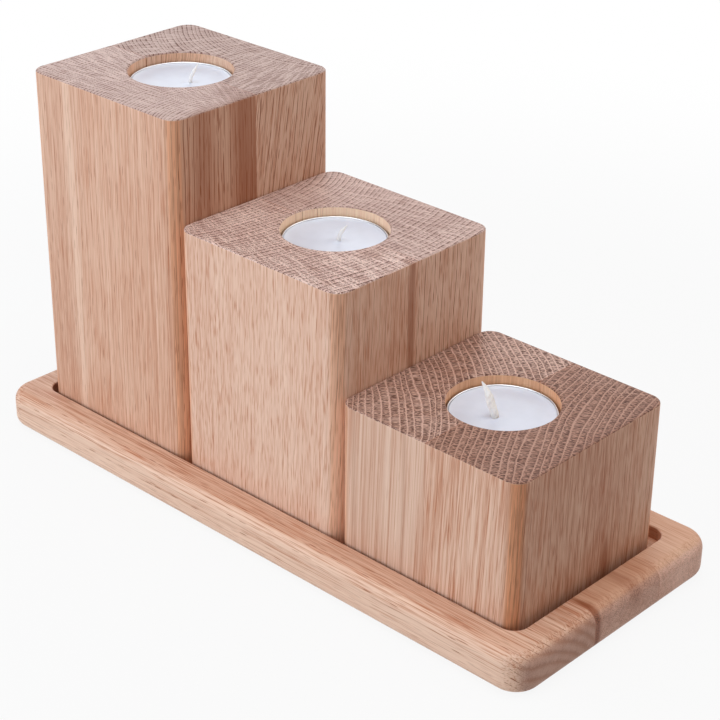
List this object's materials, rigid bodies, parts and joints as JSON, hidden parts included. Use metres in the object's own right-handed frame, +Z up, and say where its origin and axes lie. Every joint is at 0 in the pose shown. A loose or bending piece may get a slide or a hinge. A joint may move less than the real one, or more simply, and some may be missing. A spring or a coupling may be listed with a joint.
{
  "type": "tealight candle holder",
  "caption": "Stepped square oak blocks standing loose in a low routed oak tray, each with a tealight in a round recess in its top.",
  "frame": {"origin": "centre of the tray's underside, on the surface that it stands on", "axes": "+X along the tray from the tall block to the low block, +Y to the back, +Z up"},
  "size_m": [0.2694, 0.1094, 0.1534],
  "materials": {
    "block_oak": "sanded and oiled oak, satin",
    "tray_oak": "sanded and oiled oak, satin",
    "cup_aluminium": "bright drawn foil",
    "wax": "white paraffin wax, soft sheen",
    "clip_tin": "tinned sheet",
    "wick_cotton": "waxed cotton braid"
  },
  "bodies": {
    "tray": {"tray_front_stave": "tray_oak", "tray_middle_stave": "tray_oak", "tray_back_stave": "tray_oak"},
    "tall_block": {"tall_block_front_stave": "block_oak", "tall_block_back_stave": "block_oak"},
    "middle_block": {"middle_block_front_stave": "block_oak", "middle_block_back_stave": "block_oak"},
    "low_block": {"low_block_left_stave": "block_oak", "low_block_right_stave": "block_oak"},
    "tall_tealight": {"tall_tealight_cup": "cup_aluminium", "tall_tealight_wax": "wax", "tall_tealight_wick_clip": "clip_tin", "tall_tealight_wick": "wick_cotton"},
    "middle_tealight": {"middle_tealight_cup": "cup_aluminium", "middle_tealight_wax": "wax", "middle_tealight_wick_clip": "clip_tin", "middle_tealight_wick": "wick_cotton"},
    "low_tealight": {"low_tealight_cup": "cup_aluminium", "low_tealight_wax": "wax", "low_tealight_wick_clip": "clip_tin", "low_tealight_wick": "wick_cotton"}
  },
  "joints": [
    {"name": "tall_block_lift", "type": "slide", "parent": "tray", "child": "tall_block", "axis": [0, 0, 1], "range_m": [0, 0.15]},
    {"name": "middle_block_lift", "type": "slide", "parent": "tray", "child": "middle_block", "axis": [0, 0, 1], "range_m": [0, 0.15]},
    {"name": "low_block_lift", "type": "slide", "parent": "tray", "child": "low_block", "axis": [0, 0, 1], "range_m": [0, 0.15]},
    {"name": "tall_tealight_lift", "type": "slide", "parent": "tall_block", "child": "tall_tealight", "axis": [0, 0, 1], "range_m": [0, 0.04]},
    {"name": "middle_tealight_lift", "type": "slide", "parent": "middle_block", "child": "middle_tealight", "axis": [0, 0, 1], "range_m": [0, 0.04]},
    {"name": "low_tealight_lift", "type": "slide", "parent": "low_block", "child": "low_tealight", "axis": [0, 0, 1], "range_m": [0, 0.04]}
  ]
}
